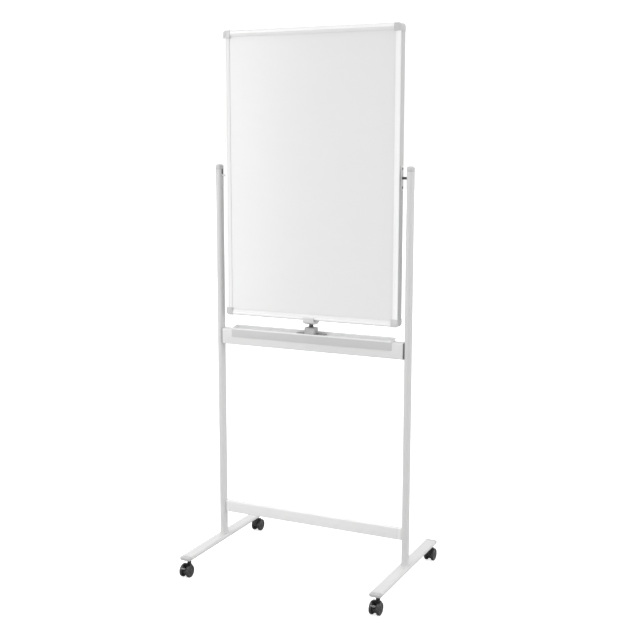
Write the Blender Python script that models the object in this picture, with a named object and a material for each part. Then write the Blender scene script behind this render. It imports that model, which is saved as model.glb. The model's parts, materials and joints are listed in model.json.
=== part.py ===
"""Rolling double-sided whiteboard: a flip board between two posts on feet with swivel casters.

Metres, +Z up. The floor is Z = 0, the board faces -Y, and the origin is on the floor at the centre.
"""

import math

import bmesh
import bpy
from mathutils import Matrix, Vector

FIT = 0.0003  # air left between two pieces that touch

# Board
BOARD_W = 0.600
BOARD_H = 0.900
BOARD_T = 0.034
PIVOT_Z = 1.275
RAIL_W = 0.0195  # how far a frame rail covers the board
RAIL_FLAT = 0.011
RAIL_WALL = 0.006
RAIL_ROUND = 0.0035
LIP_TIP = 0.0125  # half thickness of the frame where its sloped lip ends
SHEET_FACE = 0.0115  # half distance between the two writing surfaces
SHEET_T = 0.0007
FIELD_MARGIN = 0.004  # from the rails' lips to the raised open field of a writing sheet
FIELD_RISE = 0.0001
CORNER = 0.023
CORNER_PROUD = 0.0006
CORNER_ROUND = 0.010

# Pivot
PLATE_T = 0.0025
PLATE_W = 0.016
PLATE_H = 0.076
STUD_R = 0.004
STUD_HEAD_R = 0.006
STUD_HEAD_T = 0.003
SCREW_SPACING = 0.028
SCREW_R = 0.0017
SCREW_HEAD_R = 0.0034
SCREW_HEAD_T = 0.0016
SCREW_DEPTH = 0.0045

# Stand
POST_X = 0.329
POST_D = 0.030
POST_W = 0.020
POST_TOP = 1.295
POST_WALL = 0.0015
CAP_H = 0.015
CAP_PLUG = 0.009
FOOT_W = 0.040
FOOT_H = 0.013
FOOT_Z = 0.062
FOOT_WALL = 0.0015
FOOT_HALF = 0.2340  # half the length of the bare tube
FOOT_CAP = 0.013
FOOT_PLUG = 0.0100

# Crossbars and tray
UPPER_Z = 0.7265  # underside
UPPER_H = 0.051
UPPER_D = 0.032
UPPER_END = 0.0014
LOWER_Z = 0.1475
LOWER_H = 0.0387
LOWER_D = 0.016
LOWER_Y = 0.0035
LOWER_BRACKET = 0.0146
BAR_WALL = 0.0015
TRAY_HALF = 0.281
TRAY_SHEET = 0.0012
TRAY_APRON = 0.0258
TRAY_FRONT_LIP = 0.0025
TRAY_REAR_LIP = 0.0095
TRAY_SEAT = 0.0001  # depth of the seat that the catch plate lies in

# Catch
CATCH_PLATE_L = 0.100
CATCH_PLATE_W = 0.026
CATCH_PLATE_T = 0.002
CATCH_W = 0.036
CATCH_D = 0.030
CATCH_TOP = 0.8020
CATCH_STEM_R = 0.007
NECK_RISE = 0.0115  # how far the neck stands out of the housing
SADDLE_HALF = 0.0185
SADDLE_TOP = 0.8335
SADDLE_FLOOR = 0.8238

# Casters
STEM_Y = 0.220
TRAIL = 0.016
WHEEL_R = 0.0205
WHEEL_IN = 0.0070
WHEEL_OUT = 0.0170
AXLE_R = 0.0020
WEB_HALF = 0.0062
SOCKET_R = 0.0065
SOCKET_TOP = 0.0515
FENDER_HALF = 0.0110
STEM_R = 0.0040
LEVER_PIVOT = (0.0080, 0.0075)  # from the axle, away from the stem and up
LEVER_HALF = 0.0036
TRUNNION_R = 0.0015


def clear_scene():
    for obj in list(bpy.data.objects):
        bpy.data.objects.remove(obj)


def material(name, colour, roughness, metallic):
    made = bpy.data.materials.new(name)
    made.use_nodes = True
    shader = made.node_tree.nodes["Principled BSDF"]
    shader.inputs["Base Color"].default_value = (*colour, 1.0)
    shader.inputs["Roughness"].default_value = roughness
    shader.inputs["Metallic"].default_value = metallic
    made.diffuse_color = (*colour, 1.0)
    return made


# Outlines: lists of 2-D points, counter-clockwise


def arc(centre, radius, first, last, steps):
    """Points on an arc from the angle first to the angle last, in degrees, both ends included."""
    angles = [math.radians(first + (last - first) * i / steps) for i in range(steps + 1)]
    return [(centre[0] + radius * math.cos(a), centre[1] + radius * math.sin(a)) for a in angles]


def rounded_box(width, height, radius, steps=4):
    x, y = width / 2 - radius, height / 2 - radius
    corners = [((x, y), 0), ((-x, y), 90), ((-x, -y), 180), ((x, -y), 270)]
    return [p for centre, start in corners for p in arc(centre, radius, start, start + 90, steps)]


def flat_oval(width, height, steps=8):
    """A box with two half-round sides, its straight sides along the longer of the two sizes."""
    radius = min(width, height) / 2
    if width > height:
        x = width / 2 - radius
        return arc((x, 0), radius, -90, 90, steps) + arc((-x, 0), radius, 90, 270, steps)
    y = height / 2 - radius
    return arc((0, y), radius, 0, 180, steps) + arc((0, -y), radius, 180, 360, steps)


# Solids


def along_x(x, p):
    return (x, p[0], p[1])


def along_y(y, p):
    return (p[0], y, p[1])


def along_z(z, p):
    return (p[0], p[1], z)


def solid(name, rings, skin, ring_shaped=False):
    """A closed mesh through rings of points. A ring-shaped one joins its last ring to its first."""
    size = len(rings[0])
    points = [p for ring in rings for p in ring]
    spans = len(rings) if ring_shaped else len(rings) - 1
    faces = []
    for i in range(spans):
        low, high = i * size, (i + 1) % len(rings) * size
        for j in range(size):
            k = (j + 1) % size
            faces.append((low + j, low + k, high + k, high + j))
    if not ring_shaped:
        faces.append(tuple(range(size))[::-1])
        faces.append(tuple(range((len(rings) - 1) * size, len(rings) * size)))
    mesh = bpy.data.meshes.new(name)
    mesh.from_pydata(points, [], faces)
    work = bmesh.new()
    work.from_mesh(mesh)
    bmesh.ops.recalc_face_normals(work, faces=work.faces)
    work.to_mesh(mesh)
    work.free()
    obj = bpy.data.objects.new(name, mesh)
    bpy.context.scene.collection.objects.link(obj)
    if skin:
        mesh.materials.append(skin)
    return obj


def bar(name, outline, axis, start, end, skin, shift=(0.0, 0.0)):
    """The outline pushed along an axis from start to end."""
    moved = [(p[0] + shift[0], p[1] + shift[1]) for p in outline]
    return solid(name, [[axis(at, p) for p in moved] for at in (start, end)], skin)


def tube(name, outer, inner, axis, start, end, skin, shift=(0.0, 0.0)):
    """A bar with an open bore: outer and inner have as many points as each other."""
    rings = []
    for outline, at in ((outer, start), (outer, end), (inner, end), (inner, start)):
        rings.append([axis(at, (p[0] + shift[0], p[1] + shift[1])) for p in outline])
    return solid(name, rings, skin, ring_shaped=True)


def stack(name, layers, axis, skin, shift=(0.0, 0.0)):
    """A solid through outlines at positions along an axis: layers are (position, outline) pairs."""
    rings = []
    for at, outline in layers:
        rings.append([axis(at, (p[0] + shift[0], p[1] + shift[1])) for p in outline])
    return solid(name, rings, skin)


def circle(radius, steps=24, centre=(0.0, 0.0)):
    return arc(centre, radius, 0, 360 - 360 / steps, steps - 1)


def block(name, low, high, skin):
    outline = [(low[0], low[1]), (high[0], low[1]), (high[0], high[1]), (low[0], high[1])]
    return bar(name, outline, along_z, low[2], high[2], skin)


def helper(obj):
    """Keeps a cutter, or a piece that a union takes in, out of the finished object."""
    obj.hide_render = True
    obj.display_type = "WIRE"
    return obj


def combine(obj, other, operation):
    step = obj.modifiers.new(operation.title(), "BOOLEAN")
    step.operation = operation
    step.solver = "EXACT"
    step.object = helper(other)
    return obj


def cut(obj, cutter):
    return combine(obj, cutter, "DIFFERENCE")


def join(obj, other):
    return combine(obj, other, "UNION")


def smooth(obj, angle=35):
    """Smooth shading that leaves edges sharper than the angle as they are."""
    work = bmesh.new()
    work.from_mesh(obj.data)
    for face in work.faces:
        face.smooth = True
    for edge in work.edges:
        edge.smooth = edge.calc_face_angle(0.0) < math.radians(angle)
    work.to_mesh(obj.data)
    work.free()
    return obj


def place(obj, origin, turn=0.0):
    """Moves an object made round its own joint axis to its place, turned about Z in degrees."""
    obj.data.transform(Matrix.Rotation(math.radians(turn), 4, "Z"))
    obj.location = origin
    return obj


def set_origin(obj, origin):
    """Puts the object's origin at a point and leaves its shape where it is."""
    obj.data.transform(Matrix.Translation(-Vector(origin)))
    obj.location = origin
    return obj


# Board


def rail_outline(outward):
    """Section of a frame rail as (across, depth): across 0 is the outer edge, and outward is its sign."""
    half, lip = BOARD_T / 2, SHEET_FACE + FIT
    back = [
        (RAIL_WALL, -lip),
        (RAIL_W, -lip),
        (RAIL_W, -LIP_TIP),
        (RAIL_FLAT, -half),
    ]
    rounded = arc((RAIL_ROUND, -half + RAIL_ROUND), RAIL_ROUND, 270, 180, 4)
    near = back + rounded
    far = [(across, -depth) for across, depth in near[::-1]]
    return [(outward * (BOARD_W / 2 - across), depth) for across, depth in near + far]


def vertical_rail(name, side, skins):
    half = BOARD_H / 2 - CORNER - FIT
    outline = rail_outline(side)
    rail = bar(name, outline, along_z, PIVOT_Z - half, PIVOT_Z + half, skins["frame"])
    for offset in (-SCREW_SPACING, SCREW_SPACING):
        hole = bar(
            name + "_hole",
            circle(SCREW_R + FIT, 12, (0.0, PIVOT_Z + offset)),
            along_x,
            side * (BOARD_W / 2 - SCREW_DEPTH - FIT),
            side * (BOARD_W / 2 + 0.001),
            None,
        )
        cut(rail, hole)
    return set_origin(smooth(rail), (0.0, 0.0, PIVOT_Z))


def horizontal_rail(name, side, skins):
    half = BOARD_W / 2 - CORNER - FIT
    drop = (BOARD_H - BOARD_W) / 2
    outline = [(depth, side * drop + z + PIVOT_Z) for z, depth in rail_outline(side)]
    rail = bar(name, outline, along_x, -half, half, skins["frame"])
    return set_origin(smooth(rail), (0.0, 0.0, PIVOT_Z))


def corner_cap(name, side, level, skins):
    """Rounded plastic cap over one corner of the frame, open towards the middle of the board."""
    proud = CORNER_PROUD
    out_x, out_z = BOARD_W / 2 + proud, BOARD_H / 2 + proud
    in_x, in_z = BOARD_W / 2 - CORNER, BOARD_H / 2 - CORNER
    round_at = (out_x - CORNER_ROUND, out_z - CORNER_ROUND)
    outline = [(in_x, in_z), (out_x, in_z)] + arc(round_at, CORNER_ROUND, 0, 90, 6) + [(in_x, out_z)]
    half = BOARD_T / 2 + proud
    edge = 0.0012
    inset = [(in_x, in_z), (out_x - edge, in_z)]
    inset += arc(round_at, CORNER_ROUND - edge, 0, 90, 6) + [(in_x, out_z - edge)]
    layers = []
    for depth, shape in ((-half, inset), (-half + edge, outline), (half - edge, outline), (half, inset)):
        layers.append((depth, [(side * x, PIVOT_Z + level * z) for x, z in shape]))
    cap = stack(name, layers, along_y, skins["corner"])
    reach = RAIL_WALL
    low = (side * (BOARD_W / 2 - reach), PIVOT_Z + level * (BOARD_H / 2 - reach))
    far = (side * (in_x - 0.01), PIVOT_Z + level * (in_z - 0.01))
    pocket_half = SHEET_FACE + FIT
    xs, zs = sorted((low[0], far[0])), sorted((low[1], far[1]))
    pocket = block(name + "_pocket", (xs[0], -pocket_half, zs[0]), (xs[1], pocket_half, zs[1]), None)
    cut(cap, pocket)
    return set_origin(smooth(cap), (0.0, 0.0, PIVOT_Z))


def board_rectangle(inset):
    """Outline of the board, as (X, Z), this far in from its outer edges."""
    x, z = BOARD_W / 2 - inset, BOARD_H / 2 - inset
    return [(-x, PIVOT_Z - z), (x, PIVOT_Z - z), (x, PIVOT_Z + z), (-x, PIVOT_Z + z)]


def board_core(name, skins):
    half = SHEET_FACE - SHEET_T - FIT
    core = bar(name, board_rectangle(RAIL_WALL + FIT), along_y, -half, half, skins["core"])
    return set_origin(core, (0.0, 0.0, PIVOT_Z))


def writing_sheet(name, facing, skin):
    """Enamelled sheet that reaches into the rails' grooves, with its open field raised a little."""
    whole, field = board_rectangle(RAIL_WALL + FIT), board_rectangle(RAIL_W + FIELD_MARGIN)
    layers = [
        (facing * (SHEET_FACE - SHEET_T), whole),
        (facing * (SHEET_FACE - FIELD_RISE), whole),
        (facing * (SHEET_FACE - FIELD_RISE), field),
        (facing * SHEET_FACE, field),
    ]
    return set_origin(stack(name, layers, along_y, skin), (0.0, 0.0, PIVOT_Z))


def pivot_bracket(name, side, skins):
    """Steel plate on the side of the board with the stud that turns in the post's slot."""
    inner, outer = BOARD_W / 2 + FIT, BOARD_W / 2 + FIT + PLATE_T
    outline = rounded_box(PLATE_W, PLATE_H, 0.005)
    plate = bar(name, outline, along_x, side * inner, side * outer, skins["plate"], (0.0, PIVOT_Z))
    head_at = POST_X - POST_W / 2 + POST_WALL + 0.002
    layers = [
        (side * (outer - 0.001), STUD_R),
        (side * head_at, STUD_R),
        (side * head_at, STUD_HEAD_R),
        (side * (head_at + STUD_HEAD_T), STUD_HEAD_R),
    ]
    stud = stack(
        name + "_stud", [(at, circle(r, 20)) for at, r in layers], along_x, None, (0.0, PIVOT_Z)
    )
    join(plate, smooth(stud))
    for offset in (-SCREW_SPACING, SCREW_SPACING):
        hole = bar(
            name + "_hole",
            circle(SCREW_R + FIT, 12, (0.0, PIVOT_Z + offset)),
            along_x,
            side * (inner - 0.001),
            side * (outer + 0.001),
            None,
        )
        cut(plate, hole)
    return set_origin(plate, (0.0, 0.0, PIVOT_Z))


def plate_screw(name, side, offset, skins):
    seat = BOARD_W / 2 + PLATE_T + 2 * FIT
    layers = [
        (side * (BOARD_W / 2 - SCREW_DEPTH), SCREW_R),
        (side * seat, SCREW_R),
        (side * seat, SCREW_HEAD_R),
        (side * (seat + SCREW_HEAD_T * 0.5), SCREW_HEAD_R),
        (side * (seat + SCREW_HEAD_T), SCREW_HEAD_R * 0.6),
    ]
    shift = (0.0, PIVOT_Z + offset)
    screw = stack(name, [(at, circle(r, 12)) for at, r in layers], along_x, skins["pivot"], shift)
    return set_origin(smooth(screw), (0.0, 0.0, PIVOT_Z))


def make_board(skins):
    board_core("board_core", skins)
    writing_sheet("writing_sheet_front", -1, skins["sheet"])
    writing_sheet("writing_sheet_rear", 1, skins["sheet_rear"])
    vertical_rail("frame_rail_left", -1, skins)
    vertical_rail("frame_rail_right", 1, skins)
    horizontal_rail("frame_rail_bottom", -1, skins)
    horizontal_rail("frame_rail_top", 1, skins)
    for side, across in ((-1, "left"), (1, "right")):
        corner_cap(f"corner_cap_bottom_{across}", side, -1, skins)
        corner_cap(f"corner_cap_top_{across}", side, 1, skins)
        pivot_bracket(f"pivot_bracket_{across}", side, skins)
        plate_screw(f"pivot_screw_{across}_low", side, -SCREW_SPACING, skins)
        plate_screw(f"pivot_screw_{across}_high", side, SCREW_SPACING, skins)


# Stand


def inset_oval(width, height, wall, steps=8):
    return flat_oval(width - 2 * wall, height - 2 * wall, steps)


def post(name, side, skins):
    """Flat-oval tube with a slot in its inner wall, open at the top, that the board's stud drops into."""
    bottom = FOOT_Z + FOOT_H / 2 + FIT
    outer = flat_oval(POST_W, POST_D)
    inner = inset_oval(POST_W, POST_D, POST_WALL)
    shape = tube(name, outer, inner, along_z, bottom, POST_TOP, skins["stand"], (side * POST_X, 0.0))
    width = STUD_R + FIT
    outline = arc((0.0, PIVOT_Z), width, 180, 360, 8)
    outline += [(width, POST_TOP + 0.01), (-width, POST_TOP + 0.01)]
    inner_face = POST_X - POST_W / 2
    slot = bar(
        name + "_slot",
        outline,
        along_x,
        side * (inner_face - 0.003),
        side * (inner_face + 0.005),
        None,
    )
    return cut(smooth(shape), slot)


def post_cap(name, side, skins):
    """Domed cap with a plug that goes down inside the post."""
    base = POST_TOP + FIT
    plug = inset_oval(POST_W, POST_D, POST_WALL + FIT)
    layers = [(base - CAP_PLUG, plug), (base, plug)]
    for rise, inset in ((0.0, 0.0), (0.55, 0.0), (0.78, 0.0012), (0.92, 0.0035), (1.0, 0.0068)):
        layers.append((base + rise * CAP_H, inset_oval(POST_W, POST_D, inset)))
    return smooth(stack(name, layers, along_z, skins["cap"], (side * POST_X, 0.0)))


def foot(name, side, skins):
    """Flat-oval tube that lies front to back, with two holes in its underside for the caster stems."""
    outer = flat_oval(FOOT_W, FOOT_H)
    inner = inset_oval(FOOT_W, FOOT_H, FOOT_WALL)
    shift = (side * POST_X, FOOT_Z)
    shape = tube(name, outer, inner, along_y, -FOOT_HALF, FOOT_HALF, skins["stand"], shift)
    smooth(shape)
    for y in (-STEM_Y, STEM_Y):
        hole = bar(
            name + "_hole",
            circle(STEM_R + FIT, 20, (side * POST_X, y)),
            along_z,
            FOOT_Z - FOOT_H / 2 - 0.001,
            FOOT_Z - FOOT_H / 2 + FOOT_WALL + 0.001,
            None,
        )
        cut(shape, hole)
    return shape


def foot_cap(name, side, end, skins):
    """Rounded end cap of a foot: end is -1 at the front and 1 at the rear."""
    base = FOOT_HALF + FIT
    plug = inset_oval(FOOT_W, FOOT_H, FOOT_WALL + FIT)
    layers = [(end * (base - FOOT_PLUG), plug), (end * base, plug)]
    for reach, inset in ((0.0, 0.0), (0.5, 0.0), (0.75, 0.0009), (0.92, 0.0027), (1.0, 0.0050)):
        layers.append((end * (base + reach * FOOT_CAP), inset_oval(FOOT_W, FOOT_H, inset)))
    return smooth(stack(name, layers, along_y, skins["foot_cap"], (side * POST_X, FOOT_Z)))


def crossbar(name, half, depth, height, centre, radius, skins):
    outer = rounded_box(depth, height, radius)
    inner = rounded_box(depth - 2 * BAR_WALL, height - 2 * BAR_WALL, radius - BAR_WALL)
    return smooth(tube(name, outer, inner, along_x, -half, half, skins["stand"], centre))


def bar_end(name, side, bar_half, depth, height, centre, radius, plug, skin):
    """End piece between a crossbar and its post, with a plug inside the bar."""
    outline = rounded_box(depth, height, radius)
    less = 2 * (BAR_WALL + FIT)
    spigot = rounded_box(depth - less, height - less, radius - BAR_WALL - FIT)
    stop = POST_X - POST_W / 2 - FIT
    layers = [
        (side * (bar_half - plug), spigot),
        (side * (bar_half + FIT), spigot),
        (side * (bar_half + FIT), outline),
        (side * stop, outline),
    ]
    return smooth(stack(name, layers, along_x, skin, centre))


def pen_tray(name, skins):
    """Folded sheet over the upper crossbar: apron, front lip, floor, rear lip and two end walls.

    A shallow seat for the catch plate runs across the floor and parts its two open troughs.
    """
    front = -UPPER_D / 2 - FIT
    rear = UPPER_D / 2
    floor = UPPER_Z + UPPER_H + FIT
    sheet = TRAY_SHEET
    outline = [
        (front - sheet, floor - TRAY_APRON),
        (front, floor - TRAY_APRON),
        (front, floor),
        (rear + sheet, floor),
        (rear + sheet, floor + sheet + TRAY_REAR_LIP),
        (rear, floor + sheet + TRAY_REAR_LIP),
        (rear, floor + sheet),
        (front, floor + sheet),
        (front, floor + sheet + TRAY_FRONT_LIP),
        (front - sheet, floor + sheet + TRAY_FRONT_LIP),
    ]
    tray = bar(name, outline, along_x, -TRAY_HALF, TRAY_HALF, skins["tray"])
    seat_half, top = CATCH_PLATE_L / 2 + 0.0025, floor + sheet
    low, high = (-seat_half, front, top - TRAY_SEAT), (seat_half, rear, top + TRAY_FRONT_LIP / 2)
    cut(tray, block(name + "_seat", low, high, None))
    wall = [
        (front - sheet / 2, floor + sheet / 2),
        (rear + sheet / 2, floor + sheet / 2),
        (rear + sheet / 2, floor + sheet + TRAY_REAR_LIP - sheet / 4),
        (front - sheet / 2, floor + sheet + TRAY_FRONT_LIP - sheet / 4),
    ]
    for side in (-1, 1):
        ends = (side * (TRAY_HALF - 1.5 * sheet), side * (TRAY_HALF - 0.5 * sheet))
        join(tray, bar(name + "_end", wall, along_x, *ends, None))
    return tray


def tray_floor():
    return UPPER_Z + UPPER_H + FIT + TRAY_SHEET


def make_catch(skins):
    """Base plate, housing and the sprung saddle that holds the lower edge of the board."""
    base = tray_floor() + FIT
    outline = rounded_box(CATCH_PLATE_L, CATCH_PLATE_W, 0.004)
    bar("catch_plate", outline, along_z, base, base + CATCH_PLATE_T, skins["catch_plate"])

    low = base + CATCH_PLATE_T + FIT
    edge = 0.0015
    outer = rounded_box(CATCH_W, CATCH_D, 0.004)
    top = rounded_box(CATCH_W - 2 * edge, CATCH_D - 2 * edge, 0.004 - edge)
    layers = [(low, outer), (CATCH_TOP - edge, outer), (CATCH_TOP, top)]
    housing = smooth(stack("catch_housing", layers, along_z, skins["catch"]))
    bore = circle(CATCH_STEM_R + FIT, 24)
    cut(housing, bar("catch_housing_bore", bore, along_z, low - 0.001, CATCH_TOP + 0.001, None))

    lip, inner = 0.0245, 0.0188
    underside = SADDLE_FLOOR - 0.0113
    fork = [
        (-0.0085, underside),
        (0.0085, underside),
        (lip, SADDLE_FLOOR - 0.0040),
        (lip, SADDLE_TOP - 0.0008),
        (lip - 0.0008, SADDLE_TOP),
        (inner + 0.0018, SADDLE_TOP),
        (inner, SADDLE_TOP - 0.0035),
        (inner, SADDLE_FLOOR),
        (-inner, SADDLE_FLOOR),
        (-inner, SADDLE_TOP - 0.0035),
        (-inner - 0.0018, SADDLE_TOP),
        (-lip + 0.0008, SADDLE_TOP),
        (-lip, SADDLE_TOP - 0.0008),
        (-lip, SADDLE_FLOOR - 0.0040),
    ]
    saddle = bar("catch_slider", fork, along_x, -SADDLE_HALF, SADDLE_HALF, skins["catch_slider"])
    neck_ends = (CATCH_TOP - 0.0105, CATCH_TOP + NECK_RISE)
    join(saddle, smooth(bar("catch_slider_neck", circle(CATCH_STEM_R), along_z, *neck_ends, None)))
    set_origin(saddle, (0.0, 0.0, CATCH_TOP))


def make_stand(skins):
    lower = {"depth": LOWER_D, "height": LOWER_H, "centre": (LOWER_Y, LOWER_Z + LOWER_H / 2)}
    upper = {"depth": UPPER_D, "height": UPPER_H, "centre": (0.0, UPPER_Z + UPPER_H / 2)}
    reach = POST_X - POST_W / 2 - 2 * FIT
    lower_half, upper_half = reach - LOWER_BRACKET, reach - UPPER_END
    crossbar("lower_crossbar", lower_half, radius=0.004, skins=skins, **lower)
    crossbar("upper_crossbar", upper_half, radius=0.004, skins=skins, **upper)
    pen_tray("pen_tray", skins)
    for side, across in ((-1, "left"), (1, "right")):
        post(f"{across}_post", side, skins)
        post_cap(f"{across}_post_cap", side, skins)
        foot(f"{across}_foot", side, skins)
        foot_cap(f"{across}_foot_cap_front", side, -1, skins)
        foot_cap(f"{across}_foot_cap_rear", side, 1, skins)
        bar_end(
            f"lower_bar_bracket_{across}", side, lower_half, radius=0.004, plug=0.010,
            skin=skins["bracket"], **lower,
        )
        bar_end(
            f"upper_bar_end_{across}", side, upper_half, radius=0.004, plug=0.008,
            skin=skins["bar_end"], **upper,
        )


# Casters. Each is made round its swivel axis, with its wheels towards -Y, and turned at the rear.


def caster_stem(name, skins):
    """Steel pin up into the foot, with the flange that the foot rests on."""
    flange = FOOT_Z - FOOT_H / 2 - FIT
    layers = [
        (0.0330, STEM_R),
        (flange - 0.0027, STEM_R),
        (flange - 0.0027, 0.0080),
        (flange, 0.0080),
        (flange, STEM_R),
        (FOOT_Z + 0.003, STEM_R),
    ]
    return smooth(stack(name, [(at, circle(r, 20)) for at, r in layers], along_z, skins["stem"]))


def around_axle(points):
    """Points given as (away from the stem, up) from the axle, as (Y, Z) round the swivel axis."""
    return [(-TRAIL - away, WHEEL_R + up) for away, up in points]


def caster_body(name, braked, skins):
    """Web between the wheels, with a socket for the stem and a fender over the wheels' inner halves."""
    socket_side = -TRAIL - SOCKET_R + 0.001
    web = arc((0, 0), 0.0150, -160, 75, 14) + arc((0, 0), 0.0222, 80, 128, 4)
    web += [(socket_side, 0.0160), (socket_side, 0.0020)]
    body = bar(name, around_axle(web), along_x, -WEB_HALF, WEB_HALF, skins["caster"])
    socket = bar(name + "_socket", circle(SOCKET_R, 24), along_z, 0.0255, SOCKET_TOP, None)
    join(body, smooth(socket))
    fender = arc((0, 0), 0.0233, 78, 150, 8) + arc((0, 0), 0.0213, 150, 78, 8)
    hood = bar(name + "_fender", around_axle(fender), along_x, -FENDER_HALF, FENDER_HALF, None)
    join(body, smooth(hood))
    stem_hole = circle(STEM_R + FIT, 20)
    cut(body, bar(name + "_stem_hole", stem_hole, along_z, 0.0320, SOCKET_TOP + 0.001, None))
    axle_hole = around_axle(circle(AXLE_R + FIT, 16))
    cut(body, bar(name + "_axle_hole", axle_hole, along_x, -0.012, 0.012, None))
    if braked:
        slot = [(0.0032, 0.0032), (0.0200, 0.0032), (0.0200, 0.0230), (0.0032, 0.0160)]
        half = LEVER_HALF + 0.0004
        cut(body, bar(name + "_slot", around_axle(slot), along_x, -half, half, None))
        pin_hole = around_axle(circle(TRUNNION_R + FIT, 12, LEVER_PIVOT))
        cut(body, bar(name + "_pin_hole", pin_hole, along_x, -0.012, 0.012, None))
    return smooth(body)


def brake_lever(name, skins):
    """Arm on two trunnions with a pedal that stands out between the wheels."""
    across, up = LEVER_PIVOT
    arm = arc(LEVER_PIVOT, 0.0030, 110, 290, 6)
    arm += [(across + 0.0140, up + 0.0030), (across + 0.0175, up + 0.0075), (across + 0.0140, up + 0.0080)]
    lever = bar(name, around_axle(arm), along_x, -LEVER_HALF, LEVER_HALF, skins["lever"])
    pin = around_axle(circle(TRUNNION_R, 12, LEVER_PIVOT))
    join(lever, bar(name + "_pin", pin, along_x, -WEB_HALF + FIT, WEB_HALF - FIT, None))
    pedal = [
        (across + 0.0132, up + 0.0042),
        (across + 0.0190, up + 0.0082),
        (across + 0.0180, up + 0.0108),
        (across + 0.0122, up + 0.0072),
    ]
    join(lever, bar(name + "_pedal", around_axle(pedal), along_x, -0.0075, 0.0075, None))
    return lever


def caster_wheel(name, side, skins):
    """Nylon wheel with a blind bore: its origin is on the axle."""
    width = WHEEL_OUT - WHEEL_IN
    bore, depth = AXLE_R + FIT, width - 0.001
    profile = [
        (depth, bore),
        (0.0, bore),
        (0.0, 0.0170),
        (0.0006, WHEEL_R - 0.0006),
        (0.0016, WHEEL_R),
        (width - 0.0030, WHEEL_R),
        (width - 0.0012, WHEEL_R - 0.0010),
        (width - 0.0003, WHEEL_R - 0.0028),
        (width - 0.0003, 0.0150),
        (width - 0.0016, 0.0140),
        (width - 0.0016, 0.0070),
        (width, 0.0060),
    ]
    layers = [(side * (WHEEL_IN + at), circle(r, 24)) for at, r in profile]
    return smooth(stack(name, layers, along_x, skins["wheel"]), 40)


def make_caster(place_name, side, end, skins):
    """One caster: end is -1 at the front and 1 at the rear, where its wheels point the other way."""
    centre = (side * POST_X, end * STEM_Y, 0.0)
    turn = 0.0 if end < 0 else 180.0
    braked = end < 0
    made = [
        caster_stem(f"caster_stem_{place_name}", skins),
        caster_body(f"caster_body_{place_name}", braked, skins),
    ]
    axle = around_axle(circle(AXLE_R, 16))
    made.append(bar(f"caster_axle_{place_name}", axle, along_x, -0.0155, 0.0155, skins["stem"]))
    smooth(made[-1])
    for obj in made:
        finish_caster_piece(obj, centre, turn)
    if braked:
        lever = brake_lever(f"brake_lever_{place_name}", skins)
        finish_caster_piece(lever, centre, turn)
        across, up = LEVER_PIVOT
        move_origin(lever, (0.0, -TRAIL - across, WHEEL_R + up))
    for wheel_side, wheel_name in ((-1, "left"), (1, "right")):
        wheel = caster_wheel(f"wheel_{place_name}_{wheel_name}", wheel_side, skins)
        place(wheel, (centre[0], centre[1] + end * TRAIL, WHEEL_R))


def finish_caster_piece(obj, centre, turn):
    """Turns and moves a piece and the helpers that its modifiers use."""
    place(obj, centre, turn)
    for step in obj.modifiers:
        place(step.object, centre, turn)


def move_origin(obj, offset):
    obj.data.transform(Matrix.Translation(-Vector(offset)))
    obj.location = Vector(obj.location) + Vector(offset)


def make_casters(skins):
    for side, across in ((-1, "left"), (1, "right")):
        for end, along in ((-1, "front"), (1, "rear")):
            make_caster(f"{along}_{across}", side, end, skins)


def make_skins():
    white = (0.86, 0.86, 0.85)
    grey = (0.55, 0.56, 0.57)
    return {
        "core": material("board_core_board", (0.62, 0.58, 0.50), 0.8, 0.0),
        "sheet": material("writing_sheet_enamel", (0.90, 0.90, 0.90), 0.18, 0.0),
        "sheet_rear": material("writing_sheet_enamel_rear", (0.90, 0.90, 0.90), 0.18, 0.0),
        "frame": material("frame_white_aluminium", white, 0.38, 0.0),
        "corner": material("corner_grey_plastic", grey, 0.45, 0.0),
        "plate": material("pivot_plate_white", (0.80, 0.80, 0.80), 0.4, 0.0),
        "pivot": material("pivot_black_steel", (0.05, 0.05, 0.05), 0.35, 0.8),
        "stand": material("stand_white_paint", white, 0.35, 0.0),
        "cap": material("post_cap_plastic", grey, 0.45, 0.0),
        "foot_cap": material("foot_cap_plastic", (0.70, 0.71, 0.72), 0.45, 0.0),
        "tray": material("tray_white_paint", (0.80, 0.80, 0.80), 0.35, 0.0),
        "bracket": material("bracket_white_plastic", (0.88, 0.88, 0.88), 0.45, 0.0),
        "bar_end": material("bar_end_dark_plastic", (0.10, 0.10, 0.11), 0.5, 0.0),
        "catch_plate": material("catch_plate_steel", (0.30, 0.30, 0.31), 0.35, 0.9),
        "catch": material("catch_housing_plastic", (0.50, 0.51, 0.52), 0.45, 0.0),
        "catch_slider": material("catch_slider_plastic", (0.56, 0.57, 0.58), 0.45, 0.0),
        "stem": material("caster_zinc_steel", (0.35, 0.35, 0.36), 0.3, 1.0),
        "caster": material("caster_black_plastic", (0.03, 0.03, 0.03), 0.4, 0.0),
        "wheel": material("wheel_black_nylon", (0.035, 0.035, 0.035), 0.35, 0.0),
        "lever": material("brake_lever_plastic", (0.10, 0.10, 0.10), 0.4, 0.0),
    }


def main():
    clear_scene()
    skins = make_skins()
    make_board(skins)
    make_stand(skins)
    make_catch(skins)
    make_casters(skins)


main()
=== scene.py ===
"""Rolling whiteboard: finished pieces, materials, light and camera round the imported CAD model.

Metres, in the CAD's own frame: the floor is Z = 0 and the board faces -Y.
"""

import json
import math

import bmesh
import bpy
from mathutils import Matrix, Vector


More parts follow.
